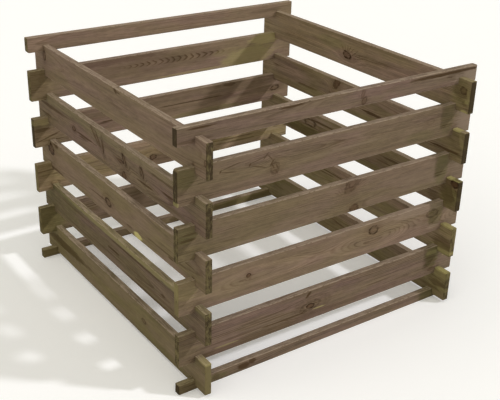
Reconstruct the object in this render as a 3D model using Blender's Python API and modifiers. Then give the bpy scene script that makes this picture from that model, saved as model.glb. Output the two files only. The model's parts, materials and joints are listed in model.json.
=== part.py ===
"""Slot-together wooden compost bin, modelled board by board.

Four open walls of pine boards stand on edge and cross at the corners like the logs of a cabin.
Every board has a square notch near each end, above and below, and each pair of crossed boards
bites together by the depth of both notches. No nails or screws hold it: each course rests on the
one below and lifts off upwards. Front and back start and finish with a narrower strip, so their
full boards sit half a pitch above those of the two sides.

Metres, +Z up, origin on the ground in the middle of the bin, front wall at -Y.
"""

import math

import bpy

# Driving sizes.
BOARD_LENGTH = 1.000
BOARD_HEIGHT = 0.097
BOARD_THICKNESS = 0.0195
TOP_STRIP_HEIGHT = 0.047
BOTTOM_STRIP_HEIGHT = 0.030
NOTCH_DEPTH = 0.010
NOTCH_INSET = 0.060  # from a board's end to the middle of its notch
NOTCH_PLAY = 0.0005  # side clearance of a crossing board in its notch
SEAT_GAP = 0.0003  # between the floors of two notches that rest on each other
EDGE_ROUNDING = 0.002  # planed edges and sawn ends, eased before the notches are cut
ROUNDING_STEPS = 2
SIDE_BOARDS = 5  # full boards in the left wall, and as many in the right
CUTTER_OVERRUN = 0.005  # how far a notch cutter stands out of the wood

# Sizes that follow from them.
NOTCH_WIDTH = BOARD_THICKNESS + 2 * NOTCH_PLAY
WALL_OFFSET = BOARD_LENGTH / 2 - NOTCH_INSET  # bin's middle to a wall's middle plane
BITE = 2 * NOTCH_DEPTH - SEAT_GAP  # how far two crossed boards reach into each other

# Base colour and roughness of the weathered, pressure-treated pine, by where it stands.
WOOD_TONES = {
    "front_back_pine": ((0.150, 0.112, 0.072), 0.72),
    "side_pine": ((0.140, 0.108, 0.066), 0.74),
    "strip_pine": ((0.145, 0.110, 0.068), 0.73),
}


def clear_scene():
    """Removes what the startup scene holds."""
    for thing in list(bpy.data.objects):
        bpy.data.objects.remove(thing)


def make_collection(name):
    """A new collection linked to the scene."""
    collection = bpy.data.collections.new(name)
    bpy.context.scene.collection.children.link(collection)
    return collection


def wood_material(name):
    """A plain matt wood in one of the bin's tones."""
    colour, roughness = WOOD_TONES[name]
    material = bpy.data.materials.new(name)
    material.use_nodes = True
    shader = material.node_tree.nodes["Principled BSDF"]
    shader.inputs["Base Color"].default_value = (*colour, 1.0)
    shader.inputs["Roughness"].default_value = roughness
    shader.inputs["Metallic"].default_value = 0.0
    material.diffuse_color = (*colour, 1.0)
    return material


def box(name, size, centre, collection):
    """A box of the given size, with its scale in its mesh and its place in its object."""
    bpy.ops.mesh.primitive_cube_add(size=1)
    thing = bpy.context.active_object
    thing.name = name
    for vertex in thing.data.vertices:
        vertex.co = [side * part for side, part in zip(size, vertex.co)]
    thing.location = centre
    for holder in list(thing.users_collection):
        holder.objects.unlink(thing)
    collection.objects.link(thing)
    return thing


def ease_edges(board):
    """Rounds every edge of a sawn blank."""
    bevel = board.modifiers.new("eased_edges", "BEVEL")
    bevel.width = EDGE_ROUNDING
    bevel.segments = ROUNDING_STEPS
    bevel.limit_method = "ANGLE"


def cut_notch(board, end, floor, opens_up, cutters):
    """Cuts one notch at an end (-1 or +1), from its floor out through the top or bottom edge."""
    height = NOTCH_DEPTH + CUTTER_OVERRUN
    middle = floor + height / 2 if opens_up else floor - height / 2
    size = (NOTCH_WIDTH, BOARD_THICKNESS + 2 * CUTTER_OVERRUN, height)
    cutter = box("notch_cutter", size, (end * WALL_OFFSET, 0, middle), cutters)
    cutter.hide_render = True
    cutter.display_type = "WIRE"
    cut = board.modifiers.new("notch", "BOOLEAN")
    cut.operation = "DIFFERENCE"
    cut.object = cutter


def board_mesh(name, height, notched_below, notched_above, cutters):
    """The mesh of one kind of board: along X, centred on it, with its bottom edge at Z 0."""
    size = (BOARD_LENGTH, BOARD_THICKNESS, height)
    blank = box(name, size, (0, 0, height / 2), bpy.context.scene.collection)
    ease_edges(blank)
    for end in (-1, 1):
        if notched_below:
            cut_notch(blank, end, NOTCH_DEPTH, False, cutters)
        if notched_above:
            cut_notch(blank, end, height - NOTCH_DEPTH, True, cutters)
    bpy.context.view_layer.update()
    graph = bpy.context.evaluated_depsgraph_get()
    mesh = bpy.data.meshes.new_from_object(blank.evaluated_get(graph))
    mesh.transform(blank.matrix_world)
    mesh.name = name
    bpy.data.objects.remove(blank)
    return mesh


def courses():
    """Each course from the ground up: its walls, its kind of board, its number and its height."""
    yield ("front", "back"), "bottom_strip", None, BOTTOM_STRIP_HEIGHT
    for number in range(1, SIDE_BOARDS + 1):
        yield ("left", "right"), "board", number, BOARD_HEIGHT
        if number < SIDE_BOARDS:
            yield ("front", "back"), "board", number, BOARD_HEIGHT
    yield ("front", "back"), "top_strip", None, TOP_STRIP_HEIGHT


def place_in_wall(board, wall, bottom):
    """Stands a board in its wall, at the height of its course."""
    side = -1 if wall in ("front", "left") else 1
    if wall in ("front", "back"):
        board.location = (0, side * WALL_OFFSET, bottom)
    else:
        board.location = (side * WALL_OFFSET, 0, bottom)
        board.rotation_euler = (0, 0, math.pi / 2)


def material_name(wall, kind):
    """The tone of a board in this wall."""
    if kind != "board":
        return "strip_pine"
    return "front_back_pine" if wall in ("front", "back") else "side_pine"


def build_bin():
    """Makes every board and strip as its own object, course by course."""
    clear_scene()
    boards = make_collection("compost_bin")
    cutters = make_collection("notch_cutters")
    materials = {name: wood_material(name) for name in WOOD_TONES}
    kinds = {
        "bottom_strip": board_mesh("bottom_strip", BOTTOM_STRIP_HEIGHT, False, True, cutters),
        "board": board_mesh("board", BOARD_HEIGHT, True, True, cutters),
        "top_strip": board_mesh("top_strip", TOP_STRIP_HEIGHT, True, False, cutters),
    }
    bottom = 0.0
    for walls, kind, number, height in courses():
        for wall in walls:
            name = f"{wall}_{kind}" if number is None else f"{wall}_{kind}_{number}"
            board = bpy.data.objects.new(name, kinds[kind].copy())
            board.data.materials.clear()
            board.data.materials.append(materials[material_name(wall, kind)])
            boards.objects.link(board)
            place_in_wall(board, wall, bottom)
        bottom += height - BITE


build_bin()
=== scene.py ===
"""Looks of the slot-together compost bin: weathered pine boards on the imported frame.

Each board of the frame gets a piece of its own: a planed blank with eased, worn arrises, rounded
corners, sawn notches and drying checks, in pine with its own rings, knots and stains. Metres.
Along a board is its length, depth goes through its thickness and up is its height, all from its
middle, and low depth is the side towards the camera.
"""

import json
import math
from dataclasses import dataclass

import bpy
from mathutils import Matrix, Vector


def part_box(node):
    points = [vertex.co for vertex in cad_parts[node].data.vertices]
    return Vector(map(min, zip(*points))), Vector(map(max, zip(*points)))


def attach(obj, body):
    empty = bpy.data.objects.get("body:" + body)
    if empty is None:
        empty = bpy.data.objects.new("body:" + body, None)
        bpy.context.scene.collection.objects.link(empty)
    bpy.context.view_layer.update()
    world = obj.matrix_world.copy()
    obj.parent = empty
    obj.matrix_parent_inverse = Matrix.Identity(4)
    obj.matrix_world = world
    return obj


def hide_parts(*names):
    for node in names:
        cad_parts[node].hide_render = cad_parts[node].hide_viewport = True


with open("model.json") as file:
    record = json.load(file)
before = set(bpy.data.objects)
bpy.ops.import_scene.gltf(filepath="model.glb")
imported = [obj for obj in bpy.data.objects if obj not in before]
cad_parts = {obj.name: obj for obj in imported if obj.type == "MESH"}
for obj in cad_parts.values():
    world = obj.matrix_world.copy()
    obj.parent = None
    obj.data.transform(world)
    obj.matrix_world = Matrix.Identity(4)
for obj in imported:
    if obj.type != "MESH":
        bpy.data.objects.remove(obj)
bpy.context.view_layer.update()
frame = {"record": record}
TO_METRES = 0.001

# The view: camera on the ground plan in front of the left corner, as the photograph has it.
CAMERA_PLACE = Vector((-1.4889, -2.1354, 1.5077))
CAMERA_TURN = math.radians(-35.49)
CAMERA_TILT = math.radians(25.50)
CAMERA_ROLL = math.radians(1.62)
CAMERA_LENS = 65.49
SENSOR_WIDTH = 36.0

# Light: a soft key lamp from the front right, a broad fill from the left and a pale room.
KEY_TURN = math.radians(48)
KEY_HEIGHT = math.radians(34)
KEY_STRENGTH = 1.46
KEY_SPREAD = math.radians(4)
KEY_COLOUR = (1.0, 0.995, 1.04)
FILL_DIRECTION = Vector((-1.0, -0.40, 1.25))
FILL_STRENGTH = 1.7
FILL_COLOUR = (1.0, 0.975, 0.88)
FILL_SPREAD = math.radians(110)
ROOM_COLOUR = (1.0, 0.98, 0.88, 1)
ROOM_STRENGTH = 0.24
WHITE = (1, 1, 1, 1)
FLOOR_SIZE = 60.0
FLOOR_SEEN = (0.95, 0.95, 0.95, 1)
FLOOR_BOUNCE = (0.86, 0.86, 0.86, 1)
FLOOR_GLOW = 0.15

# How the blanks are made and joined.
SEAT_GAP = 0.0003
NOTCH_PLAY = 0.0005
ARRIS = 0.0017
ARRIS_WEAR = 0.7
WEAR_SPREAD = (14.0, 5.0, 9.0)
SAWN_CORNER = 0.0026
HOLLOW = 0.00025
HOLLOW_SPREAD = (5.0, 1.5)
CUTTER_OVERRUN = 0.005
CHECK_DEPTH = 0.008
CHECK_TIP = 0.08
CHECK_POINTS = 13
SHORTEST_CHECK = 0.001
SHALLOWEST_NOTCH = 0.0001
SHARP_ANGLE = math.radians(32)
TINY = 1e-9

# Rows of faces in a blank, and how many of them crowd at its ends and arrises.
LENGTH_ROWS = 96
DEPTH_ROWS = 8
HEIGHT_ROWS = 20
END_ROWS = 4
ARRIS_ROWS = 3

# How the rings run: when latewood starts and stops in a year, and how uneven a ring's width is.
LATEWOOD_START = (0.42, 0.88)
LATEWOOD_STOP = (0.92, 1.0)
RING_UNEVEN = 0.6
RING_RIPPLE = 0.17
RIDGE_REACH = 0.013
COURSE_BENDS = 3.0
DRIFT_BENDS = 2.0
DECADE_SHARE = 0.33
FIGURE_FADE = (0.65, 1.0)
FAINTEST = 0.25

# Knots and stains, by the distance from their middle as a share of their size.
HEART_FADE = (0.85, 1.1)
HEART_FAINTEST = 0.45
RIM_START = (0.50, 0.85)
RIM_STOP = (1.0, 1.22)
HALO_FADE = (0.9, 3.0)
STAIN_FADE = (0.62, 1.12)
KNOT_RAGGED = 0.3
STAIN_RAGGED = 0.55
KNOT_RAYS = 2.6
RAY_CHANGE = 1.3
PULL_FADE = -0.16
FLOW_SHARE = 0.8

# Grain of the patterns: features per metre along, through and up a board, detail and roughness.
RING_GRAIN = (7, 45, 45, 2.0, 0.5)
RIPPLE_GRAIN = (45, 160, 160, 2.0, 0.5)
FIGURE_GRAIN = (4, 20, 26, 2.0, 0.5)
KNOT_GRAIN = (75, 100, 120, 4.0, 0.7)
RIM_GRAIN = (60, 110, 110, 2.0, 0.5)
STAIN_GRAIN = (30, 220, 220, 3.0, 0.5)
FIBRE_GRAIN = (16, 480, 480, 4.0, 0.75)
STREAK_GRAIN = (7, 120, 210, 3.0, 0.6)
PATCH_GRAIN = (5, 9, 24, 3.0, 0.5)
CLOUD_GRAIN = (3.5, 7, 17, 3.0, 0.5)
MOTTLE_GRAIN = (40, 90, 90, 4.0, 0.65)
SAWN_GRAIN = (20, 110, 60, 4.0, 0.6)
CHIP_GRAIN = (95, 140, 140, 4.0, 0.75)
SHELTER_AND_SHADE_GRAIN = (14, 40, 60, 3.0, 0.5)
WEAR_GRAIN = (26, 200, 200, 4.0, 0.7)
SAPWOOD_GRAIN = (6, 30, 30, 2.0, 0.5)

# How far in from a board's ends, top and arrises they still show, in metres.
SHELTER_AND_SHADE_REACH = (0.03, 0.15)
END_GRAIN_REACH = (0.0006, 0.0026)
TOP_REACH = (0.0005, 0.0020)
ARRIS_REACH = (0.0010, 0.0026)
SHELTER_AND_SHADE_RAGGED = 0.09
SAPWOOD_DRIFT = 0.004
SAPWOOD_FADE = (-0.001, 0.002)

# Surface of the pine, and the numbers that tell the boards' patterns apart.
SHEEN = 0.12
ROUGHNESS = 0.80
RELIEF_STRENGTH = 0.7
RELIEF_DEPTH = 0.0005
FIRST_SEED = 3.7
SEED_STEP = 11.3
CLOUD_SHIFT = (3.7, 1.3, 8.1)

# Tones of the wood.
BROWN = (0.184, 0.131, 0.086, 1)
PINK_BROWN = (0.194, 0.128, 0.099, 1)
OLIVE = (0.161, 0.125, 0.061, 1)
SAPWOOD = (0.212, 0.174, 0.092, 1)
LATEWOOD = (0.080, 0.046, 0.024, 1)
KNOT_BROWN = (0.078, 0.038, 0.016, 1)
KNOT_RIM = (0.030, 0.014, 0.004, 1)
DARK_STREAK = (0.056, 0.029, 0.009, 1)
END_BROWN = (0.038, 0.026, 0.012, 1)
END_OLIVE = (0.158, 0.127, 0.056, 1)
# Dark damp green: partly the wood's own damp tone, partly painted shade near the crossings.
DAMP_GREEN_AND_SHADE = (0.068, 0.058, 0.022, 1)
# A pale tan for tops and arrises worn by the weather and for pale streaks; on the tops and arrises it is
# partly painted light.
PALE_TAN = (0.335, 0.258, 0.190, 1)
TREATMENT_GREEN = (0.118, 0.108, 0.036, 1)
MOSSY = (0.300, 0.275, 0.092, 1)
TREATMENT_YELLOW = (0.470, 0.415, 0.165, 1)


@dataclass
class Mark:
    """A knot, stain or other mark, in millimetres from the board's middle; a few are painted shadow. Pull
    draws the rings into a knot.
    """

    along: float
    up: float
    half_length: float
    half_height: float
    strength: float = 1.0
    lean: float = 0.0
    heart: float = 0.6
    pull: float = 0.3
    rim: float = 1.0


@dataclass
class Character:
    """What sets one board apart from the next, with lengths in millimetres.

    Knots, swirls and stains are lists of the numbers of a Mark, in its order; a few broad dark and green ones
    are painted shadow. A drying check is given by its place along and up the board, its length and its width.
    """

    # light scales a board's whole colour: partly its own tone, partly painted light; above 1 on the back and
    # right boards, it lifts them out of the bin's shade.
    light: float = 1.0
    pink: float = 1.0
    olive: float = 0.15
    sawn: float = 0.5
    moss: float = 0.4
    contrast: float = 0.9
    even: float = 0.2
    ring: float = 4.0
    wander: float = 10.0
    lean: float = 0.03
    ridge: float = 0.0
    pith: tuple = (-45.0, 0.0)
    sway: tuple = (0.0, 330.0, 0.0)
    figure: tuple = (200.0, 0.0, 5000.0)
    sapwood: tuple = (0.0, 0.0)
    ends: tuple = (1.0, 1.0)
    corners: tuple = (0.0, 0.0, 0.0, 0.0)
    knots: tuple = ()
    swirls: tuple = ()
    dark: tuple = ()
    green: tuple = ()
    yellow: tuple = ()
    pale: tuple = ()
    check: tuple = (0, 0, 0, 0)


CHARACTERS = {
    "front_top_strip": Character(
        light=0.93, sawn=0.28, contrast=0.8, lean=0.02, pith=(-38, 4), ends=(0.1, 0),
        knots=[(74, -10, 9, 11, 0.8, 0.3, 0.6, 0.3, 0.7), (68, 10, 6, 14, 0.6, 0.2, 0.8, 0.3, 0.5)],
        dark=[(-180, 22, 330, 5, 0.22), (-165, 18, 46, 3), (-430, 15.5, 46, 3), (372, 14.5, 150, 5.2),
            (445, 15, 70, 4.2), (-455, -14, 60, 5, 0.4)],
        pale=[(500, -6, 100, 26, 0.52), (400, 8, 100, 4, 0.2), (300, -6, 160, 8, 0.08)],
        check=(365, 14.5, 250, 2.6),
    ),
    "front_board_4": Character(
        light=0.98, pink=0.6, olive=0.45, sawn=0.34, contrast=0.65, even=0, ring=3.6, wander=3, lean=0,
        pith=(-24, 21), sway=(5, 500, -190), ends=(0.45, 0.05), corners=(0, 9, 0, 0),
        knots=[(-212, -8, 14, 17, 0.55, 0, 0.4, 0.6, 0.7), (335, 10, 16, 9, 0.35, 0, 0.1, 0.8, 0.5)],
        dark=[(-346, 26, 6, 7, 0.9, 5), (-355, 12, 6, 5, 0.9, -6), (-377, 18, 3, 5, 0.9, 0.5),
            (-264, 25, 5, 7, 0.9, 4.6), (-262, 6, 5, 9, 0.8, -3), (-290, 17, 3, 5, 0.9, 0.4),
            (-218, -2, 2.6, 8, 0.7, -0.5), (-205, -6, 2.6, 9, 0.7, -0.5), (-212, 5, 8, 2, 0.6, 0.4),
            (-210, -14, 8, 2, 0.6, 0.4), (-10, 19, 92, 4, 0.3), (400, 4, 30, 2, 0.4, -2),
            (404, -12, 24, 2, 0.6, -1), (404, -18, 20, 1.6, 0.5, -1), (-241, 31, 2.6, 10, 0.75, 0.9),
            (-228, 24, 2.6, 9, 0.75, -0.9), (-222, 8, 3.4, 9, 0.8, 0.7), (-207, -19, 3, 9, 0.5, -0.6)],
        green=[(-480, 22, 34, 30, 0.55), (300, -28, 60, 20, 0.3), (404, 10, 28, 60, 0.45)],
        yellow=[(-499, -43, 5, 7, 0.35)],
        pale=[(500, 0, 66, 120, 0.4), (60, -2, 100, 4, 0.14), (-70, -5, 60, 3, 0.12)],
    ),
    "front_board_3": Character(
        light=0.98, pink=0.25, olive=0.62, sawn=0.44, contrast=0.42, lean=0.02, pith=(-50, -30),
        ends=(0.6, 0.05), corners=(0, 3, 0, 0),
        knots=[(57, 38, 24, 24, 0.8, 0.5, 0.55, 0.3, 0.6), (57, 38, 13, 13, 0.8, 0.5, 0.3, 0.3, 0.6),
            (68, -39, 16, 12, 0.9, 0, 1, 0.3, 0.6)],
        dark=[(404, -6, 30, 2.4, 0.6, -1), (402, -15, 26, 2, 0.6, -1), (-350, -22, 26, 2.5, 0.35, -0.4),
            (-470, 10, 30, 4, 0.7), (-465, 26, 34, 3, 0.6)],
        green=[(-476, 26, 36, 26, 0.6), (404, 10, 28, 60, 0.8)],
        pale=[(500, 0, 66, 120, 0.14), (350, -10, 120, 60, 0.06), (-230, -42, 190, 6, 0.16)],
    ),
    "front_board_2": Character(
        light=1.13, pink=0.45, olive=0.4, sawn=0.68, contrast=0.78, even=0.5, ring=3.3, wander=4, lean=0,
        pith=(-38, -3), sway=(8.5, 413, 166), ends=(0.3, 0.15),
        knots=[(-284, 9, 7, 6, 1, 0, 1), (152, 23, 18, 13, 0.85, 0, 0.25, 0.6),
            (389, 15, 24, 14, 0.45, 0, 0.5)],
        swirls=[(-250, -30, 40, 12, 1, 0.5, 0, 0.9), (330, 2, 46, 12, 1, 0, 0, 0.7)],
        dark=[(225, 6, 45, 2, 0.4, -0.2)],
        green=[(402, 15, 34, 50, 0.6)],
        yellow=[(-476, 24, 40, 34, 0.16)],
        pale=[(500, 0, 66, 120, 0.1), (330, 38, 120, 16, 0.3), (398, -30, 30, 6, 0.25, 1.2)],
    ),
    "front_board_1": Character(
        light=0.91, even=0, ring=5.4, lean=0, pith=(-16, -70), ends=(0.55, 0.4),
        knots=[(-67, -3, 14, 8, 1, 0, 0.95, 0.8), (-98, -13, 9, 5, 0.5, 0, 0.7),
            (-66, -2, 34, 15, 0.7, 0.4, 0, 0, 0.8), (-60, 0, 64, 26, 0.3, 0, 0, 0, 0.8)],
        dark=[(-60, 45, 260, 6, 0.2), (-220, 14, 120, 2.4, 0.4), (-330, -14, 110, 2.4, 0.5),
            (-92, -15, 3, 7, 0.8, 2.4), (-50, 3, 3, 6, 0.7, -1.8), (-100, 0, 3, 6, 0.6, -2.6),
            (-75, 37, 7, 10, 1, 0.8), (-20, -33, 350, 9, 0.35), (-270, -38, 230, 13, 0.42),
            (-300, 4, 150, 2.4, 0.5), (-205, -2, 110, 2.2, 0.5), (185, -6, 62, 3, 0.5),
            (-150, -19, 90, 3, 0.8), (412, -30, 20, 8, 0.6), (404, 2, 26, 40, 0.3), (402, 14, 30, 4, 0.6),
            (414, 0, 24, 6, 0.6)],
        green=[(410, 20, 32, 50, 0.9)],
        yellow=[(408, 30, 26, 9, 0.22), (-34, -18, 27, 2.4, 0.5), (-350, -29, 44, 2.6, 0.3),
            (470, 8, 20, 4, 0.3, -1)],
        pale=[(500, 0, 66, 120, 0.16)],
    ),
    "front_bottom_strip": Character(
        light=0.94, pink=0.6, olive=0.5, sawn=0.28, pith=(-30, -20), ends=(1, 0.8),
        dark=[(-292, 1, 24, 11), (-264, 6, 14, 10), (-384, 0, 14, 12, 0.35), (-484, 0, 50, 30, 0.16)],
        green=[(-380, -2, 36, 14, 0.6), (410, 0, 40, 20, 0.8)],
    ),
    "left_board_5": Character(
        light=1.07, pink=0.6, olive=0.45, sawn=0.4, contrast=0.7, pith=(-60, 10), ends=(0.1, 0.2),
        corners=(0, 5, 0, 0),
        knots=[(-498, -4, 8, 9, 0.5, 0, 1), (424, 17, 10, 15, 0.9, 0, 1)],
        dark=[(-45, 43, 9, 11, 1, 0.6), (-56, 40, 20, 3, 0.7), (-50, -2, 45, 4, 0.35),
            (-442, -24, 6, 6, 0.5)],
    ),
    "left_board_4": Character(
        light=0.9, olive=0.4, sawn=0.4, pith=(-30, -15), sapwood=(24, 0.8), ends=(0.2, 0.5),
        knots=[(90, 22, 9, 27, 0.8, 1.15, 0.45, 0.3, 0), (46, 5, 4.5, 19, 1, 0.2, 0.8, 0.3, 0.8),
            (-84, 9, 8, 16, 1, 0.6, 0.15), (-74, 6, 5, 9, 0.8, -0.2, 0.3), (-81, -38, 12, 12, 1, 0, 1),
            (-185, 9, 5.5, 14, 1, 0.35, 0.1), (-176, 11, 5, 12, 0.8, 0.2, 0.1), (237, -4, 11, 8, 1, 0, 0.9),
            (-60, -1, 20, 5, 0.9, 0, 0.9)],
        dark=[(-88, 10, 3.4, 16, 0.9, 0.5), (-76, 14, 3, 13, 0.8, 0.5), (77, 21, 3.4, 23, 1, 0.7),
            (97, 21, 3.6, 24, 1, 1.15), (46, 4, 3.2, 17, 0.8, 0.3), (64, 0, 8, 3, 0.6),
            (-189, 8, 3, 14, 0.9, 0.3), (-178, 12, 2.6, 10, 0.7, -0.6), (165, -7, 80, 3.2, 1, 0.6),
            (180, -14, 25, 3, 0.8), (-322, -4, 34, 4), (-200, -19, 50, 3.4), (-330, 27, 120, 4, 0.7),
            (400, 13, 110, 6, 0.8), (440, -20, 50, 4, 0.7), (-300, -34, 110, 7, 0.35)],
    ),
    "left_board_3": Character(
        light=1.05, pink=0.1, olive=0.85, sawn=0.46, contrast=0.5, pith=(-70, 5), ends=(0.2, 0.4),
        knots=[(26, -8, 17, 12, 1, 0.35, 0.3, 0.5), (424, 20, 22, 19, 1, 0.3, 1)],
        dark=[(-462, 34, 30, 16, 0.16), (385, 43, 19, 9, 1, 0.6), (78, -9, 80, 3, 0.7),
            (-300, -20, 120, 3, 0.5), (-420, -2, 30, 3, 0.5, -0.5), (-330, -26, 18, 3, 0.8),
            (-100, -30, 22, 4, 0.6), (400, -44, 70, 6, 0.8)],
        yellow=[(-150, -39, 26, 10, 1, 0.3)],
        pale=[(445, -20, 40, 7, 0.2)],
    ),
    "left_board_2": Character(
        light=0.77, pink=0.6, olive=0.8, sawn=0.44, moss=0.8, contrast=0.7, pith=(-28, -10), sapwood=(31, 1),
        ends=(0.4, 0.9),
        knots=[(-153, -20, 14, 7, 0.2, 0.4, 0.4)],
        dark=[(-250, -26, 120, 5, 0.4), (60, -22, 150, 4, 0.4), (-120, -12, 180, 3, 0.35),
            (250, 22, 160, 4, 0.45), (200, -34, 120, 4, 0.4), (-200, -43, 160, 5, 0.7),
            (-285, -8, 12, 5, 0.8), (-140, 29, 210, 3.6, 0.8), (5, -3, 42, 4.5, 0.9),
            (-150, -30, 40, 3, 0.5, 0.5)],
        green=[(380, 10, 160, 60, 0.5)],
        yellow=[(-60, 42, 480, 9, 0.24), (-110, 43, 50, 6, 0.3), (-330, 46, 60, 4, 0.25)],
        check=(5, -3, 72, 2.6),
    ),
    "left_board_1": Character(
        light=1.04, pink=0.05, olive=1, sawn=0.7, contrast=0.5, pith=(-55, 0), ends=(0.3, 0.8),
        knots=[(-170, 3, 13, 7, 0.6, 0.3, 0.8)],
        dark=[(310, 4, 190, 8, 0.6), (365, 3, 175, 17, 0.86), (440, 2, 100, 16, 0.7)],
        green=[(370, 2, 190, 16), (0, 0, 540, 90, 0.4), (460, 20, 50, 40, 0.5)],
        yellow=[(-488, 47, 30, 5, 0.3)],
    ),
    # The back boards face into the bin; their light above 1 is painted light against its shade.
    "back_top_strip": Character(
        light=1.34, pink=0.7, contrast=0.75, ring=3.6, wander=4, lean=0.025, pith=(-36, 3),
        sway=(4, 1000, -50), ends=(0.1, 0.3), corners=(7, 0, 0, 0),
    ),
    "back_board_4": Character(
        light=1.33, pink=0.7, olive=0.3, contrast=1.2, even=0.8, ring=3, wander=1, lean=-0.125, ridge=0.1,
        pith=(-58, 12), figure=(12.5, 25, 235), ends=(0.8, 0.3),
        dark=[(-476, 0, 40, 70, 0.38), (-60, 10, 330, 30, 0.25), (-230, 40, 220, 16, 0.48),
            (-452, 20, 30, 26, 0.5), (-60, -14, 300, 7, 0.2)],
        green=[(310, -20, 110, 40, 0.3, 0.6)],
        yellow=[(384, 32, 70, 22, 0.5, 0.4), (310, -22, 120, 40, 0.4, 0.8), (370, 0, 50, 40, 0.2, 0.6),
            (220, 6, 60, 18, 0.16, 0.8), (150, -42, 260, 5, 0.3)],
    ),
    "back_board_3": Character(
        light=1.34, sawn=0.3, pith=(-30, -40), ends=(0.7, 0.2),
        knots=[(437, -5, 20, 9, 0.9, 0.2, 0.5)],
        dark=[(60, 45, 340, 6, 0.3), (260, -6, 100, 6, 0.35), (100, 5, 190, 3, 0.8), (210, 0, 60, 7, 0.4),
            (236, 42, 30, 10, 0.7), (310, 14, 110, 50, 0.14), (-240, -5, 30, 3, 0.9, 1.2),
            (-262, -10, 30, 2.4, 0.7, 1.2), (-472, 8, 34, 8, 0.65), (-478, -12, 44, 30, 0.24),
            (-455, -20, 10, 13, 0.8, 3.4), (-440, -14, 9, 9, 0.7, 3.4), (-440, -30, 50, 3, 0.7)],
        green=[(150, -40, 180, 12, 0.6)],
        yellow=[(-474, 34, 40, 12, 0.22)],
        pale=[(250, -14, 70, 6, 0.14), (430, 12, 40, 6, 0.2)],
    ),
    "back_board_2": Character(
        light=1.88, pink=0.2, olive=0.9, sawn=0.6, contrast=0.65, ends=(0.6, 0.6),
        knots=[(-77, -15, 13, 10, 0.8, 0, 0.9), (-440, -26, 16, 9, 0.5, 0, 0.1)],
        dark=[(270, -12, 100, 3, 0.7), (260, -26, 110, 4, 0.6), (-476, 0, 40, 70, 0.4), (330, 2, 140, 4, 0.8),
            (-450, 6, 60, 4, 0.6), (-470, 22, 50, 3, 0.7)],
        pale=[(210, -18, 50, 3, 0.25), (430, -10, 60, 6, 0.25), (340, -34, 120, 3, 0.2)],
    ),
    "back_board_1": Character(
        light=1.08, pink=0.3, olive=0.8, corners=(8, 0, 0, 0),
        dark=[(-476, 0, 40, 70, 0.26)],
        green=[(-470, 0, 60, 70, 0.7)],
    ),
    "back_bottom_strip": Character(
        light=1.3, pink=0.4, olive=0.8,
        # The broad dark and green marks along the right half are a painted shadow.
        dark=[(-480, 0, 66, 24, 0.42), (320, -5, 190, 14, 0.34)],
        green=[(320, -3, 210, 16, 0.8), (-440, 0, 90, 24, 0.6)],
    ),
    # The right boards face into the bin; their light above 1 is painted light against its shade.
    "right_board_5": Character(
        light=1.46, pink=0.62, olive=0.62, sawn=0.24, moss=0.6, contrast=1.15, ring=3.6, wander=8, lean=-0.02,
        pith=(-40, -78), ends=(0.8, 0.3),
        knots=[(35, -11, 20, 12, 1, 0.5, 0.8, 2.6), (-472, 15, 13, 11, 0.8, 0, 0.5, 0.3, 0.8)],
        dark=[(60, 45, 440, 7, 0.25), (-472, 15, 17, 14, 0.35), (2, 0, 2, 17, 0.7, -1.3),
            (13, 8, 1.8, 12, 0.7, -1.1), (24, 11, 1.5, 12, 0.7, -0.6), (34, 12, 1.4, 12, 0.6, -0.1),
            (46, 11, 1.4, 12, 0.6, 0.25), (61, 11, 1.6, 12, 0.5, 0.76), (-25, -10, 4, 10, 0.6, -4),
            (-153, 7, 14, 7, 0.5, -14), (-108, -1, 19, 6, 0.5, -19), (-42, 4, 14, 4.5, 0.5, -12),
            (-462, 8, 34, 24, 0.46), (-468, 0, 44, 70, 0.14), (-480, -22, 12, 9, 0.5),
            (-170, 3, 70, 2.2, 0.45, -0.4), (-60, -4, 60, 2, 0.5, -0.6)],
        green=[(120, 15, 80, 18, 0.4), (-468, 6, 46, 46, 0.6)],
        yellow=[(-484, -45, 16, 5, 0.5), (-488, -16, 8, 6, 0.28), (-492, 0, 5, 24, 0.14, 0.2)],
        pale=[(80, -40, 400, 9, 0.14), (410, -8, 60, 34, 0.12)],
    ),
    "right_board_4": Character(
        light=1.32, pink=0.35, olive=0.78, sawn=0.14, moss=0.7, pith=(-38, 10), ends=(0.5, 0.4),
        corners=(0, 5, 0, 0),
        knots=[(76, 36, 15, 22, 1, -0.5, 1, 0.3, 0.45)],
        dark=[(300, 38, 120, 14, 0.2), (-462, 0, 44, 60, 0.32), (-458, 4, 9, 10, 0.3),
            (235, -20, 70, 4.4, 0.6), (-105, -16, 56, 6, 1, 0.6), (-430, -22, 76, 4.4),
            (400, 12, 60, 3, 0.5)],
        green=[(-470, 0, 40, 40, 0.35), (200, -30, 120, 14, 0.4), (-80, -40, 80, 12, 0.5),
            (-480, 35, 30, 14, 0.6)],
        yellow=[(-466, 47, 18, 4.4, 0.75), (-488, 18, 9, 24, 0.16, 0.3)],
    ),
    "right_board_3": Character(
        light=1.26, pink=0.3, olive=0.9, sawn=0.24, moss=0.9, contrast=1, pith=(-36, 0), ends=(1, 0.5),
        knots=[(-486, 37, 15, 11, 1, 0, 1), (205, 10, 34, 13, 0.7, 0, 0.2)],
        dark=[(-484, 37, 19, 12, 0.92), (-480, -26, 34, 26, 0.4), (-170, -14, 130, 44, 0.3),
            (255, -32, 120, 18, 0.5), (300, -10, 60, 10, 0.4), (-464, 4, 40, 44, 0.68),
            (-440, -30, 60, 22, 0.45), (-488, -38, 30, 12, 0.3), (140, 23, 70, 4, 0.9),
            (200, -4, 50, 3, 0.6, -2), (-230, 14, 60, 5, 0.7, 0.3), (-180, -4, 50, 4, 0.6),
            (200, -22, 70, 12, 0.6)],
        green=[(230, -26, 130, 22, 0.75), (-470, -10, 40, 40, 0.8), (-120, -38, 110, 14, 0.7)],
        yellow=[(-462, 47.5, 14, 3.4, 0.65), (-488, 6, 8, 22, 0.12, 0.5)],
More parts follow.
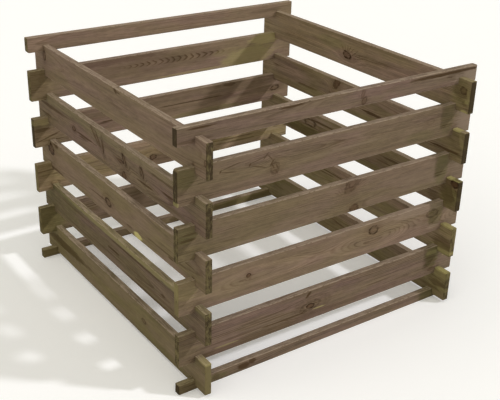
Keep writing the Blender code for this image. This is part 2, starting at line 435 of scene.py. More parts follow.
        pale=[(170, 14, 60, 4, 0.4, -2), (215, 2, 50, 3, 0.3, -2), (120, 34, 70, 7, 0.3)],
    ),
    "right_board_2": Character(
        light=1.4, pink=0.3, olive=0.9, moss=0.9, sapwood=(-24, 0.8), ends=(0.8, 0.8),
        dark=[(80, 18, 90, 3, 0.7), (100, 8, 60, 2.4, 0.7), (-470, 0, 50, 8, 0.6), (-470, -14, 50, 24, 0.66),
            (-470, 10, 44, 70, 0.16)],
        green=[(-200, -6, 110, 44, 0.35), (180, 0, 170, 40, 0.5), (-470, -30, 60, 20, 0.6),
            (200, -34, 120, 12, 0.5)],
        yellow=[(-476, 46, 26, 5, 0.5), (-480, 30, 40, 18, 0.06), (-480, -38, 40, 9, 0.3)],
    ),
    "right_board_1": Character(
        light=1.38, pink=0, olive=1, sawn=0.42, moss=0.9,
        dark=[(-470, 0, 50, 14, 0.6), (-470, 0, 44, 70, 0.16), (-440, -24, 50, 8, 0.5)],
        green=[(-200, -20, 150, 50, 0.5), (330, 0, 160, 60, 0.6), (-460, 10, 70, 50, 0.5)],
        yellow=[(-476, 46, 26, 5, 0.55), (-480, 34, 40, 14, 0.18), (-490, -14, 26, 10, 0.15)],
    ),
}


class Value:
    """What a node puts out, on which sums can be written."""

    def __init__(self, bench, socket):
        self.bench = bench
        self.socket = socket

    def __add__(self, other):
        return self.bench.math("ADD", self, other)

    def __radd__(self, other):
        return self.bench.math("ADD", other, self)

    def __sub__(self, other):
        return self.bench.math("SUBTRACT", self, other)

    def __rsub__(self, other):
        return self.bench.math("SUBTRACT", other, self)

    def __mul__(self, other):
        return self.bench.math("MULTIPLY", self, other)

    def __rmul__(self, other):
        return self.bench.math("MULTIPLY", other, self)

    def __truediv__(self, other):
        return self.bench.math("DIVIDE", self, other)


class Bench:
    """Lays nodes in one tree. They take numbers, vectors, colours and what other nodes put out."""

    def __init__(self, tree):
        self.tree = tree

    def feed(self, sockets, values):
        """Links or sets sockets, by name or number."""
        for name, value in values.items():
            if isinstance(value, Value):
                self.tree.links.new(value.socket, sockets[name])
            else:
                sockets[name].default_value = value

    def node(self, kind, inputs=None, **settings):
        """Adds a node, with its settings and then its inputs."""
        node = self.tree.nodes.new(kind)
        for name, value in settings.items():
            setattr(node, name, value)
        self.feed(node.inputs, inputs or {})
        return node

    def outputs(self, kind, inputs=None, **settings):
        """Adds a node and gives all that it puts out, by name."""
        node = self.node(kind, inputs, **settings)
        return {socket.name: Value(self, socket) for socket in node.outputs}

    def output(self, kind, inputs=None, **settings):
        """Adds a node and gives the first thing that it puts out."""
        return Value(self, self.node(kind, inputs, **settings).outputs[0])

    def give(self, results):
        """Ends a group with its results and hands over its tree."""
        self.feed(self.tree.nodes.new("NodeGroupOutput").inputs, results)
        return self.tree

    def math(self, operation, *values):
        """The result of a sum on one to three numbers."""
        return self.output("ShaderNodeMath", dict(enumerate(values)), operation=operation)

    def least(self, first, second):
        """The lower of two values."""
        return self.math("MINIMUM", first, second)

    def most(self, *values):
        """The highest of the values."""
        highest = values[0]
        for value in values[1:]:
            highest = self.math("MAXIMUM", highest, value)
        return highest

    def size(self, value):
        """A value without its sign."""
        return self.math("ABSOLUTE", value)

    def side(self, value):
        """The sign of a value, as -1, 0 or 1."""
        return self.math("SIGN", value)

    def span(self, first, second):
        """The length of the two sides' hypotenuse."""
        return self.math("SQRT", first * first + second * second)

    def rise(self, value, low, high):
        """0 below the low value, 1 above the high one and smooth between."""
        inputs = {"Value": value, "From Min": low, "From Max": high}
        return self.output("ShaderNodeMapRange", inputs, interpolation_type="SMOOTHSTEP")

    def fall(self, value, low, high):
        """1 below the low value, 0 above the high one and smooth between."""
        return 1.0 - self.rise(value, low, high)

    def vector(self, x, y, z):
        """A vector of three values."""
        return self.output("ShaderNodeCombineXYZ", {0: x, 1: y, 2: z})

    def parts(self, vector):
        """A vector's three values."""
        return self.outputs("ShaderNodeSeparateXYZ", {0: vector}).values()

    def both(self, operation, first, second):
        """The result of a sum on two vectors."""
        return self.output("ShaderNodeVectorMath", {0: first, 1: second}, operation=operation)

    def noise(self, vector, detail=2.0, roughness=0.5):
        """Noise from 0 to 1 with features about one unit of the vector across."""
        inputs = {"Vector": vector, "Scale": 1.0, "Detail": detail, "Roughness": roughness}
        return self.outputs("ShaderNodeTexNoise", inputs)["Fac"]

    def grain(self, place, pattern, seed=None):
        """Noise drawn out along a board in one of its grains."""
        *scale, detail, roughness = pattern
        place = self.both("MULTIPLY", place, scale)
        if seed is not None:
            place = self.both("ADD", place, seed)
        return self.noise(place, detail, roughness)

    def blend(self, share, first, second):
        """One colour going over to another as the share goes from 0 to 1."""
        node = self.node("ShaderNodeMix", data_type="RGBA", clamp_factor=True)
        sockets = {socket.identifier: socket for socket in node.inputs}
        self.feed(sockets, {"Factor_Float": share, "A_Color": first, "B_Color": second})
        return next(Value(self, socket) for socket in node.outputs if socket.identifier == "Result_Color")

    def coats(self, colour, coats):
        """A colour under coats of other colours, each with its share."""
        for share, tone in coats:
            colour = self.blend(share, colour, tone)
        return colour


def swing(value, reach):
    """Noise from 0 to 1 turned to run from minus to plus the reach."""
    return (value - 0.5) * 2.0 * reach


def at_least(floor, value):
    """A share from 0 to 1 turned to run from a floor to 1."""
    return floor + value * (1.0 - floor)


SOCKET_KINDS = {"Place": "Vector", "Colour": "Color", "Wood": "Material", "Board": "Geometry"}


def new_group(name, inputs, outputs, kind="ShaderNodeTree"):
    """A node group's bench and what the group is given. Its sockets are numbers or as SOCKET_KINDS has."""
    tree = bpy.data.node_groups.new(name, kind)
    for way, labels in (("INPUT", inputs), ("OUTPUT", outputs)):
        for label in labels.split(", "):
            socket = "NodeSocket" + SOCKET_KINDS.get(label, "Float")
            tree.interface.new_socket(name=label, in_out=way, socket_type=socket)
    bench = Bench(tree)
    return bench, bench.outputs("NodeGroupInput")


RING_LENGTHS = ("Pith Depth, Pith Height, Sway, Sway Length, Sway Start, Figure Height, Figure Middle, "
                "Figure Half, Wander, Ring Width")


def ring_group():
    """Growth rings round a pith that leans, sways and wanders along the board."""
    bench, given = new_group(
        "growth_rings", RING_LENGTHS + ", Place, Pith Lean, Ridge, Swirl, Flow, Seed",
        "Latewood, Year, Decade",
    )
    place, seed, width, wander = (given[name] for name in ("Place", "Seed", "Ring Width", "Wander"))
    along, depth, up = bench.parts(place)
    course = swing(bench.noise(bench.vector(along * COURSE_BENDS, seed, 0.0), 1.0), wander)
    drift = swing(bench.noise(bench.vector(along * DRIFT_BENDS, 0.0, seed), 1.0), wander)
    turn = (along - given["Sway Start"]) / given["Sway Length"]
    swaying = given["Sway"] * bench.math("COSINE", turn * math.tau)
    pith_depth = given["Pith Depth"] + swaying + given["Pith Lean"] * along + course
    height = up + given["Flow"] - (given["Pith Height"] + drift)
    radius = bench.span(depth - pith_depth, height)
    ridge = bench.least(bench.size(height), RIDGE_REACH) * given["Ridge"]
    uneven = swing(bench.grain(place, RING_GRAIN, seed), width * RING_UNEVEN)
    ripple = swing(bench.grain(place, RIPPLE_GRAIN, seed), width * RING_RIPPLE)
    years = (radius + ridge + uneven + ripple + given["Swirl"]) / width
    season = bench.math("FRACT", years)
    latewood = bench.rise(season, *LATEWOOD_START) * bench.fall(season, *LATEWOOD_STOP)
    year = bench.math("FLOOR", years) + seed
    decade = swing(bench.noise(bench.vector(years * DECADE_SHARE, seed, 0.0), 1.0), 1.0)
    off_middle = (along - given["Figure Middle"]) / given["Figure Half"]
    near = bench.fall(bench.span(height / given["Figure Height"], off_middle), *FIGURE_FADE)
    shown = at_least(FAINTEST, bench.rise(bench.grain(place, FIGURE_GRAIN, seed), 0.38, 0.6))
    return bench.give({
        "Latewood": latewood * near * shown,
        "Year": bench.output("ShaderNodeTexWhiteNoise", {"W": year}, noise_dimensions="1D"),
        "Decade": decade * at_least(FAINTEST, near),
    })


MARK_LENGTHS = "Along, Up, Half Length, Half Height"
MARK_INPUTS = MARK_LENGTHS + ", Place, Lean, Strength"


def mark_reach(bench, given):
    """A place's way from a mark's middle, along and up, as shares of the mark's size."""
    along, _, up = bench.parts(given["Place"])
    high = up - given["Up"]
    far = along - given["Along"] - high * given["Lean"]
    return far / given["Half Length"], high / given["Half Height"]


def knot_group():
    """A knot through the board: its heart, its dark rim, its halo and how it bends the rings."""
    bench, given = new_group("knot", MARK_INPUTS + ", Heart, Pull, Edge", "Swirl, Flow, Core, Rim, Halo")
    place, strength = given["Place"], given["Strength"]
    far, high = mark_reach(bench, given)
    even = bench.most(bench.span(far, high), 0.01)
    distance = even + swing(bench.grain(place, KNOT_GRAIN), KNOT_RAGGED + given["Heart"] * KNOT_RAGGED)
    turn = (far / even * KNOT_RAYS, high / even * KNOT_RAYS, distance * RAY_CHANGE)
    rays = bench.rise(bench.noise(bench.vector(*turn)), 0.4, 0.58)
    heart = bench.fall(distance, *HEART_FADE) * at_least(HEART_FAINTEST, rays) * given["Heart"]
    broken = at_least(FAINTEST, bench.rise(bench.grain(place, RIM_GRAIN), 0.38, 0.56))
    rim = bench.rise(distance, *RIM_START) * bench.fall(distance, *RIM_STOP) * broken
    reach = bench.math("EXPONENT", distance * distance * PULL_FADE) * strength
    _, _, up = bench.parts(place)
    return bench.give({
        "Swirl": reach * given["Half Height"] * given["Pull"],
        "Flow": reach * (given["Up"] - up) * FLOW_SHARE,
        "Core": heart * strength,
        "Rim": rim * strength * given["Edge"],
        "Halo": bench.fall(distance, *HALO_FADE) * strength,
    })


def stain_group():
    """A soft, ragged mark drawn out along the grain: a stain, and in a few places a painted shadow."""
    bench, given = new_group("stain", MARK_INPUTS, "Stain")
    ragged = swing(bench.grain(given["Place"], STAIN_GRAIN), STAIN_RAGGED)
    distance = bench.span(*mark_reach(bench, given)) + ragged
    return bench.give({"Stain": bench.fall(distance, *STAIN_FADE) * given["Strength"]})


def fibre_group():
    """Fine fibre lines, darker streaks, broad patches and the mottle of old treatment."""
    bench, given = new_group("fibre", "Place, Seed", "Fibre, Streak, Patch, Cloud, Mottle, Sawn Mottle")
    place = bench.both("ADD", given["Place"], given["Seed"])
    cloudy = bench.grain(bench.both("ADD", place, CLOUD_SHIFT), CLOUD_GRAIN)
    return bench.give({
        "Fibre": swing(bench.grain(place, FIBRE_GRAIN), 1.0),
        "Streak": bench.rise(bench.grain(place, STREAK_GRAIN), 0.53, 0.72),
        "Patch": bench.rise(bench.grain(place, PATCH_GRAIN), 0.38, 0.62),
        "Cloud": bench.rise(cloudy, 0.40, 0.60),
        "Mottle": bench.grain(place, MOTTLE_GRAIN),
        "Sawn Mottle": bench.grain(place, SAWN_GRAIN),
    })


def exposure_group():
    """Where a board is sawn, worn or weather-beaten, darker and greener near its ends as damp wood and
    painted shade, and paler on its tops and arrises as wear and painted light, from its own size.
    """
    bench, given = new_group(
        "exposure", "Place, Half Length, Half Thickness, Half Height, Sapwood Edge, Sapwood, Start, End",
        "End Grain, Shelter, Top, Arris, Chip, Sapwood",
    )
    place, edge, half_height = given["Place"], given["Sapwood Edge"], given["Half Height"]
    along, depth, up = bench.parts(place)
    from_end = given["Half Length"] - bench.size(along)
    from_face = given["Half Thickness"] - bench.size(depth)
    from_edge = half_height - bench.size(up)
    ragged = swing(bench.grain(place, SHELTER_AND_SHADE_GRAIN), SHELTER_AND_SHADE_RAGGED)
    chipped = bench.grain(place, CHIP_GRAIN)
    wear = bench.rise(bench.grain(place, WEAR_GRAIN), 0.40, 0.60)
    drift = swing(bench.grain(place, SAPWOOD_GRAIN), SAPWOOD_DRIFT)
    arris = bench.fall(from_face + from_edge, *ARRIS_REACH)
    shelter_and_shade_share = given["Start"] + bench.rise(along, -0.1, 0.1) * (given["End"] - given["Start"])
    past = (up - edge + drift) * bench.side(edge)
    return bench.give({
        "End Grain": bench.fall(from_end, *END_GRAIN_REACH),
        # Near the ends and crossings the wood turns olive and dark green: partly damp wood, partly painted
        # shade at the crossings.
        "Shelter": bench.fall(from_end + ragged, *SHELTER_AND_SHADE_REACH) * shelter_and_shade_share,
        # Paler tops and arrises: partly wear, partly painted light, with a painted highlight along the
        # arrises.
        "Top": bench.fall(half_height - up, *TOP_REACH) * at_least(FAINTEST, wear),
        "Arris": arris * bench.rise(chipped, 0.34, 0.62),
        "Chip": arris * bench.fall(chipped, 0.38, 0.43),
        "Sapwood": bench.rise(past, *SAPWOOD_FADE) * given["Sapwood"],
    })


TONES = ("Contrast", "Even", "Pink", "Olive", "Light", "Sawn", "Moss")
STAINS = ("Dark", "Green", "Yellow", "Pale")
KNOT_PARTS = ("Core", "Rim", "Halo")


def pine_group():
    """Colour, roughness and relief of the weathered, pressure-treated pine."""
    bench, given = new_group(
        "weathered_pine",
        ", ".join(TONES + STAINS + KNOT_PARTS) + ", Latewood, Year, Decade, Fibre, Streak, Patch, Cloud, "
        "Mottle, Sawn Mottle, End Grain, Shelter, Top, Arris, Chip, Sapwood",
        "Colour, Roughness, Relief",
    )
    latewood, contrast, year, even = (given[name] for name in ("Latewood", "Contrast", "Year", "Even"))
    fibre, streak, mottle, shelter_and_shade = (given[name] for name in ("Fibre", "Streak", "Mottle", "Shelter"))
    core, rim, end_grain = (given[name] for name in ("Core", "Rim", "End Grain"))
    share = year * year * (1.0 - even) + even
    wood = bench.coats(BROWN, [
        (given["Pink"] * given["Patch"], PINK_BROWN),
        (given["Olive"] * given["Cloud"] * 0.9, OLIVE),
        (given["Sapwood"] * 0.7, SAPWOOD),
        # Olive and dark damp green near the ends: partly damp wood, partly painted shade at the crossings.
        (shelter_and_shade * 0.75, OLIVE),
        (shelter_and_shade * streak * 0.85, DAMP_GREEN_AND_SHADE),
        (given["Halo"] * 0.28, KNOT_BROWN),
        (latewood * contrast * (0.12 + share * 0.8), LATEWOOD),
        (streak * 0.26, DARK_STREAK),
        (given["Green"] * 0.7, TREATMENT_GREEN),
    ])
    value = 1.0 + fibre * 0.6 + given["Decade"] * contrast * 0.42 + swing(mottle, 1.0) * 0.2
    # Light scales the wood: partly the board's own tone, partly painted light on the boards inside the bin.
    lit = bench.output("ShaderNodeVectorMath", {0: wood, "Scale": given["Light"] * value}, operation="SCALE")
    paler = given["Sawn Mottle"] + given["Sawn"] + latewood * -0.1
    sawn = bench.blend(bench.rise(paler, 0.78, 1.14), END_BROWN, END_OLIVE)
    # worn is the pale tan, going mossy near the ends; on the tops and arrises it is partly wear and partly a
    # painted highlight.
    worn = bench.blend(bench.least(shelter_and_shade * given["Moss"], 1.0), PALE_TAN, MOSSY)
    colour = bench.coats(lit, [
        (shelter_and_shade * bench.rise(mottle, 0.5, 0.66) * 0.07, TREATMENT_YELLOW),
        (given["Pale"], PALE_TAN),
        (given["Dark"] * 0.84, DARK_STREAK),
        (core * 0.85, KNOT_BROWN),
        (rim * 0.95, KNOT_RIM),
        (end_grain * 0.92, sawn),
        # Tops and arrises paler: partly wear, partly a painted highlight.
        (given["Top"] * 0.86, worn),
        (given["Arris"] * 0.82, worn),
        (given["Yellow"] * 0.95, TREATMENT_YELLOW),
        (given["Chip"] * 0.6, DARK_STREAK),
    ])
    return bench.give({
        "Colour": colour,
        "Roughness": ROUGHNESS + fibre * 0.08 + latewood * -0.06 + end_grain * 0.15 + core * -0.1,
        "Relief": latewood * 0.5 + fibre * 0.6 + rim * -1.2 + core * 0.5 + streak * -0.3,
    })


def in_metres(names, lengths):
    """Lengths in millimetres turned to metres, under the names of the inputs that take them."""
    return {name: length * TO_METRES for name, length in zip(names.split(", "), lengths)}


def place_group(bench, tree, inputs):
    """Places a node group and gives its results, by name."""
    return bench.outputs("ShaderNodeGroup", inputs, node_tree=tree)


def place_mark(bench, tree, place, numbers):
    """Places the group of one knot or stain. Only a knot's has a heart, a pull and an edge."""
    mark = Mark(*numbers)
    inputs = in_metres(MARK_LENGTHS, numbers) | {"Place": place, "Lean": mark.lean, "Strength": mark.strength}
    if tree.name == "knot":
        inputs |= {"Heart": mark.heart, "Pull": mark.pull, "Edge": mark.rim}
    return place_group(bench, tree, inputs)


def new_material(name):
    """A material, its bench and the inputs of its shader."""
    material = bpy.data.materials.new(name)
    material.use_nodes = True
    return material, Bench(material.node_tree), material.node_tree.nodes["Principled BSDF"].inputs


def pine_material(board, groups, seed):
    """The pine of one board: its own rings, knots, stains and tone."""
    character = board.character
    material, bench, surface = new_material("pine_of_" + board.name)
    to_board = {"Vector": bench.outputs("ShaderNodeTexCoord")["Object"], "Location": -board.middle}
    if board.runs_along_y:
        to_board["Location"] = (-board.middle.y, -board.middle.x, -board.middle.z)
        to_board |= {"Rotation": (0, 0, math.pi / 2), "Scale": (1, -1, 1)}
    place = bench.output("ShaderNodeMapping", to_board)
    knots, swirls = (
        [place_mark(bench, groups["knot"], place, numbers) for numbers in marks]
        for marks in (character.knots, character.swirls)
    )
    lengths = (*character.pith, *character.sway, *character.figure, character.wander, character.ring)
    rings = place_group(bench, groups["rings"], in_metres(RING_LENGTHS, lengths) | {
        "Place": place,
        "Pith Lean": character.lean,
        "Ridge": character.ridge,
        "Swirl": sum(knot["Swirl"] for knot in knots + swirls),
        "Flow": sum(knot["Flow"] for knot in knots),
        "Seed": seed,
    })
    fibre = place_group(bench, groups["fibre"], {"Place": place, "Seed": seed})
    exposure = place_group(bench, groups["exposure"], {
        "Place": place,
        "Half Length": board.length / 2,
        "Half Thickness": board.thickness / 2,
        "Half Height": board.height / 2,
        "Sapwood Edge": character.sapwood[0] * TO_METRES,
        "Sapwood": character.sapwood[1],
        "Start": character.ends[0],
        "End": character.ends[1],
    })
    masks = {name: getattr(character, name.lower()) for name in TONES} | rings | fibre | exposure
    for name in STAINS:
        marks = getattr(character, name.lower())
        found = [place_mark(bench, groups["stain"], place, numbers)["Stain"] for numbers in marks]
        masks[name] = bench.most(0.0, *found)
    for name in KNOT_PARTS:
        masks[name] = bench.most(0.0, *[knot[name] for knot in knots])
    pine = place_group(bench, groups["pine"], masks)
    relief = {"Height": pine["Relief"], "Strength": RELIEF_STRENGTH, "Distance": RELIEF_DEPTH}
    bench.feed(surface, {
        "Base Color": pine["Colour"],
        "Roughness": pine["Roughness"],
        "Normal": bench.output("ShaderNodeBump", relief),
        "Specular IOR Level": SHEEN,
    })
    return material


@dataclass
class Board:
    """A board of the frame: its place, its size and the notches that the crossing boards need."""

    name: str
    body: str
    low: Vector
    high: Vector
    character: Character
    notch_middle: float = 0.0
    notch_width: float = 0.0
    depth_below: float = 0.0
    depth_above: float = 0.0

    def __post_init__(self):
        size_x, size_y, self.height = (high - low for low, high in zip(self.low, self.high))
        self.runs_along_y = size_y > size_x
        self.length = max(size_x, size_y)
        self.thickness = min(size_x, size_y)
        self.middle = (self.low + self.high) / 2


def read_boards():
    """Every board of the frame, with its notches worked out from the boards that cross it."""
    boards = []
    for body, nodes in frame["record"]["behaviour"]["bodies"].items():
        for name in nodes:
            boards.append(Board(name, body, *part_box(name), CHARACTERS[name]))
    for board in boards:
        for other in boards:
            crosses = other.runs_along_y != board.runs_along_y
            if not crosses or other.low.z > board.high.z or other.high.z < board.low.z:
                continue
            board.notch_middle = abs(other.middle.x if other.runs_along_y else other.middle.y)
            board.notch_width = other.thickness + 2 * NOTCH_PLAY
            if other.middle.z > board.middle.z:
                board.depth_above = (board.high.z - other.low.z + SEAT_GAP) / 2
            else:
                board.depth_below = (other.high.z - board.low.z + SEAT_GAP) / 2
    return boards


CORNERS = ("Corner Start Low", "Corner Start High", "Corner End Low", "Corner End High")
CHECK_LENGTHS = "Check Along, Check Up, Check Length, Check Width"
BOARD_INPUTS = (
    "Length, Thickness, Height, Arris, Wear, Hollow, Notch Middle, Notch Width, Depth Below, Depth Above, "
    "Check Side, Seed, Wood, " + CHECK_LENGTHS + ", " + ", ".join(CORNERS)
)


def pick(bench, condition, when_false, when_true, kind="FLOAT"):
    """One of two values, by a condition. None stands for no geometry."""
    inputs = {"Switch": condition, "True": when_true}
    if when_false is not None:
        inputs["False"] = when_false
    return bench.output("GeometryNodeSwitch", inputs, input_type=kind)


def is_above(bench, value, limit):
    """Whether a number is above a limit."""
    return bench.output("FunctionNodeCompare", {0: value, 1: limit}, operation="GREATER_THAN")


def row_place(bench, share, half, zone, rows, zone_rows):
    """Where a row lies on a half width, with a given number of rows crowded in its outer zone."""
    turn = 1.0 - 2.0 * zone_rows / rows
    size = bench.size(share)
    inner = size * (1.0 / turn) * (half - zone)
    outer = half - zone + (size - turn) * (1.0 / (1.0 - turn)) * zone
    return pick(bench, is_above(bench, size, turn), inner, outer)


def board_tree():
    """Makes one board along X: a worn blank, notched near both ends and checked by drying."""
    bench, given = new_group("notched_board", BOARD_INPUTS, "Board", "GeometryNodeTree")
    blank = {"Mesh 1": worn_blank(bench, given)}
    cutters = []
    for end in (-1.0, 1.0):
        cutters.append(notch_cutter(bench, given, end, -1.0, given["Depth Below"]))
        cutters.append(notch_cutter(bench, given, end, 1.0, given["Depth Above"]))
    cutters.append(placed_check(bench, given))
    cut = bench.node("GeometryNodeMeshBoolean", blank, operation="DIFFERENCE", solver="MANIFOLD")
    for cutter in cutters:
        bench.feed(cut.inputs, {"Mesh 2": cutter})
    whole = bench.output("GeometryNodeRealizeInstances", {0: Value(bench, cut.outputs["Mesh"])})
    dressed = bench.output("GeometryNodeSetMaterial", {"Geometry": whole, "Material": given["Wood"]})
    return bench.give({"Board": dressed})


def worn_blank(bench, given):
    """A rectangular blank with rounded corners, eased and worn arrises and a slightly uneven face."""
    rows = {"Vertices X": LENGTH_ROWS + 1, "Vertices Y": DEPTH_ROWS + 1, "Vertices Z": HEIGHT_ROWS + 1}
    block = bench.output("GeometryNodeMeshCube", {"Size": (2, 2, 2)} | rows)
    share_x, share_y, share_z = bench.parts(bench.output("GeometryNodeInputPosition"))
    half_x, half_y, half_z = (given[name] * 0.5 for name in ("Length", "Thickness", "Height"))
    at_end = is_above(bench, share_x, 0.0)
    low_corner = pick(bench, at_end, given["Corner Start Low"], given["Corner End Low"])
    high_corner = pick(bench, at_end, given["Corner Start High"], given["Corner End High"])
    corner = pick(bench, is_above(bench, share_z, 0.0), low_corner, high_corner)
    side_x, side_y, side_z = (bench.side(share) for share in (share_x, share_y, share_z))
    wear_x, wear_y, wear_z = WEAR_SPREAD
    wear_place = bench.vector(share_x * wear_x, side_y * wear_y + given["Seed"], side_z * wear_z)
    worn = swing(bench.noise(wear_place, 3.0, 0.6), given["Wear"])
    arris = given["Arris"] * (1.0 + worn)
    place_x = row_place(bench, share_x, half_x, corner, LENGTH_ROWS, END_ROWS)
    place_y = row_place(bench, share_y, half_y, arris, DEPTH_ROWS, ARRIS_ROWS)
    place_z = row_place(bench, share_z, half_z, arris, HEIGHT_ROWS, ARRIS_ROWS)
    past_x = bench.most(place_x - (half_x - corner), 0.0)
    past_z = bench.most(place_z - (half_z - corner), 0.0)
    furthest = bench.most(past_x, past_z, TINY)
    draw_in = furthest / bench.most(bench.span(past_x, past_z), TINY)
    round_x = past_x * draw_in
    round_z = past_z * draw_in
    inside = bench.least(half_x - place_x, half_z - place_z)
    over_edge = bench.most(arris - inside, 0.0)
    over_face = bench.most(place_y - (half_y - arris), 0.0)
    ease = bench.least(arris / bench.most(bench.span(over_edge, over_face), TINY), 1.0)
    inward = over_edge * (ease - 1.0)
    hollow_x, hollow_z = HOLLOW_SPREAD
    hollow_place = bench.vector(share_x * hollow_x, side_y + given["Seed"], share_z * hollow_z)
    sunk = bench.noise(hollow_place) * given["Hollow"]
    new_x = place_x - past_x + round_x + round_x / furthest * inward
    new_z = place_z - past_z + round_z + round_z / furthest * inward
    new_y = place_y - over_face + over_face * ease
    new_y = new_y - bench.least(sunk, new_y)
    place = bench.vector(new_x * side_x, new_y * side_y, new_z * side_z)
    return bench.output("GeometryNodeSetPosition", {"Geometry": block, "Position": place})


def notch_cutter(bench, given, end, side, depth):
    """The block that saws one notch, or nothing where its depth is nothing."""
    tall = depth + CUTTER_OVERRUN
    wide = given["Thickness"] + 2 * CUTTER_OVERRUN
    block = bench.output("GeometryNodeMeshCube", {"Size": bench.vector(given["Notch Width"], wide, tall)})
    middle = (given["Height"] * 0.5 - depth + tall * 0.5) * side
    where = bench.vector(given["Notch Middle"] * end, 0.0, middle)
    cutter = bench.output("GeometryNodeTransform", {"Geometry": block, "Translation": where})
    return pick(bench, is_above(bench, depth, SHALLOWEST_NOTCH), None, cutter, "GEOMETRY")


def placed_check(bench, given):
    """The thin spindle that opens one drying check in a face, or nothing where it has no length."""
    half = given["Check Length"] * 0.5
    ends = {"Start": bench.vector(half * -1.0, 0.0, 0.0), "End": bench.vector(half, 0.0, 0.0)}
    line = bench.output("GeometryNodeCurvePrimitiveLine", ends)
    points = bench.output("GeometryNodeResampleCurve", {"Curve": line, "Count": CHECK_POINTS})
    share = bench.outputs("GeometryNodeSplineParameter")["Factor"]
    size = at_least(CHECK_TIP, bench.math("SINE", share * math.pi))
    swollen = bench.output("GeometryNodeSetCurveRadius", {"Curve": points, "Radius": size})
    outline = {"Width": given["Check Width"], "Height": CHECK_DEPTH}
    profile = bench.output("GeometryNodeCurvePrimitiveQuadrilateral", outline)
    sweep = {"Curve": swollen, "Profile Curve": profile, "Fill Caps": True}
    spindle = bench.output("GeometryNodeCurveToMesh", sweep)
    depth = given["Thickness"] * given["Check Side"] * 0.5
    where = bench.vector(given["Check Along"], depth, given["Check Up"])
    cutter = bench.output("GeometryNodeTransform", {"Geometry": spindle, "Translation": where})
    return pick(bench, is_above(bench, given["Check Length"], SHORTEST_CHECK), None, cutter, "GEOMETRY")


def set_inputs(modifier, values):
    """Sets a geometry modifier's inputs by the identifiers of its sockets."""
    for item in modifier.node_group.interface.items_tree:
        if item.item_type == "SOCKET" and item.in_out == "INPUT" and item.name in values:
            modifier[item.identifier] = values[item.name]


def make_board(board, tree, wood, seed):
    """The finished piece of one board, as a plain mesh in its place in the bin."""
    piece = bpy.data.objects.new("pine_" + board.name, bpy.data.meshes.new(board.name))
    bpy.context.scene.collection.objects.link(piece)
    corners = [max(SAWN_CORNER, corner * TO_METRES) for corner in board.character.corners]
    modifier = piece.modifiers.new("notched_board", "NODES")
    modifier.node_group = tree
    set_inputs(modifier, dict(zip(CORNERS, corners)) | in_metres(CHECK_LENGTHS, board.character.check) | {
        "Length": board.length,
        "Thickness": board.thickness,
        "Height": board.height,
        "Arris": ARRIS,
        "Wear": ARRIS_WEAR,
        "Hollow": HOLLOW,
        "Notch Middle": board.notch_middle,
        "Notch Width": board.notch_width,
        "Depth Below": board.depth_below,
        "Depth Above": board.depth_above,
        "Check Side": 1.0 if board.runs_along_y else -1.0,
        "Seed": seed,
        "Wood": wood,
    })
    bpy.context.view_layer.update()
    graph = bpy.context.evaluated_depsgraph_get()
    mesh = bpy.data.meshes.new_from_object(piece.evaluated_get(graph))
    piece.modifiers.remove(modifier)
    turn = Matrix.Rotation(math.pi / 2 if board.runs_along_y else 0.0, 4, "Z")
    mesh.transform(Matrix.Translation(board.middle) @ turn)
    mesh.shade_smooth()
    mesh.set_sharp_from_angle(angle=SHARP_ANGLE)
    piece.data = mesh
    return piece


def make_camera():
    """The camera at the photograph's place and angle."""
    cos_turn, sin_turn = math.cos(CAMERA_TURN), math.sin(CAMERA_TURN)
    cos_tilt, cos_roll, sin_roll = math.cos(CAMERA_TILT), math.cos(CAMERA_ROLL), math.sin(CAMERA_ROLL)
    ahead = Vector((-sin_turn * cos_tilt, cos_turn * cos_tilt, -math.sin(CAMERA_TILT)))
    level = Vector((cos_turn, sin_turn, 0))
    above = level.cross(ahead)
    right = cos_roll * level + sin_roll * above
    upward = -sin_roll * level + cos_roll * above
    lens = bpy.data.cameras.new("view")
    lens.lens = CAMERA_LENS
    lens.sensor_width = SENSOR_WIDTH
    camera = bpy.data.objects.new("view", lens)
    turn = Matrix((right, upward, -ahead)).transposed().to_4x4()
    camera.matrix_world = Matrix.Translation(CAMERA_PLACE) @ turn
    bpy.context.scene.collection.objects.link(camera)
    bpy.context.scene.camera = camera


def make_sun(name, towards_lamp, strength, spread, colour):
    """A far lamp that shines from a direction."""
    lamp = bpy.data.lights.new(name, "SUN")
    lamp.energy = strength
    lamp.angle = spread
    lamp.color = colour
    holder = bpy.data.objects.new(name, lamp)
    holder.rotation_euler = towards_lamp.to_track_quat("Z", "Y").to_euler()
    bpy.context.scene.collection.objects.link(holder)


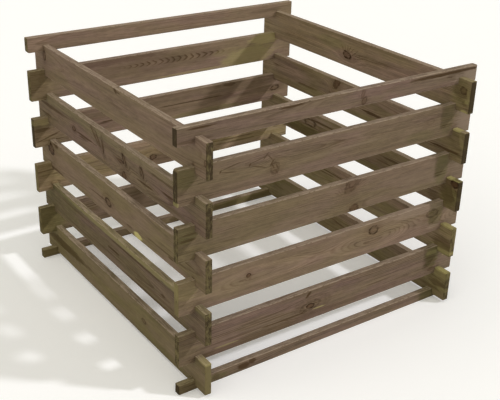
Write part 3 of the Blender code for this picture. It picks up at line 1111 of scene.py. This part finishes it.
def light_room():
    """The key lamp, the fill and the pale room, which the camera sees as white."""
    reach = math.cos(KEY_HEIGHT)
    key = Vector((math.sin(KEY_TURN) * reach, -math.cos(KEY_TURN) * reach, math.sin(KEY_HEIGHT)))
    make_sun("key", key, KEY_STRENGTH, KEY_SPREAD, KEY_COLOUR)
    make_sun("fill", FILL_DIRECTION, FILL_STRENGTH, FILL_SPREAD, FILL_COLOUR)
    world = bpy.data.worlds.new("room")
    world.use_nodes = True
    bpy.context.scene.world = world
    bench = Bench(world.node_tree)
    path = bench.outputs("ShaderNodeLightPath")
    seen = bench.most(path["Is Camera Ray"], path["Is Glossy Ray"])
    bench.feed(world.node_tree.nodes["Background"].inputs, {
        "Color": bench.blend(seen, ROOM_COLOUR, WHITE),
        "Strength": at_least(ROOM_STRENGTH, path["Is Camera Ray"]),
    })


def lay_floor():
    """A plain pale floor that takes the bin's shadow."""
    bpy.ops.mesh.primitive_plane_add(size=FLOOR_SIZE)
    floor = bpy.context.active_object
    floor.name = "floor"
    material, bench, surface = new_material("pale_floor")
    seen = bench.outputs("ShaderNodeLightPath")["Is Camera Ray"]
    bench.feed(surface, {
        "Base Color": bench.blend(seen, FLOOR_BOUNCE, FLOOR_SEEN),
        "Roughness": 1.0,
        "Specular IOR Level": 0.0,
        "Emission Color": WHITE,
        "Emission Strength": seen * FLOOR_GLOW,
    })
    floor.data.materials.append(material)


def dress_boards():
    """Makes every board's piece and sets it on its body in place of the frame's node."""
    groups = {
        "rings": ring_group(),
        "knot": knot_group(),
        "stain": stain_group(),
        "fibre": fibre_group(),
        "exposure": exposure_group(),
        "pine": pine_group(),
    }
    tree = board_tree()
    for number, board in enumerate(read_boards()):
        seed = FIRST_SEED + SEED_STEP * number
        piece = make_board(board, tree, pine_material(board, groups, seed), seed)
        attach(piece, board.body)
        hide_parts(board.name)


def main():
    """Builds the view, the light, the floor and the bin."""
    bpy.context.scene.view_settings.view_transform = "Standard"
    make_camera()
    light_room()
    lay_floor()
    dress_boards()


main()
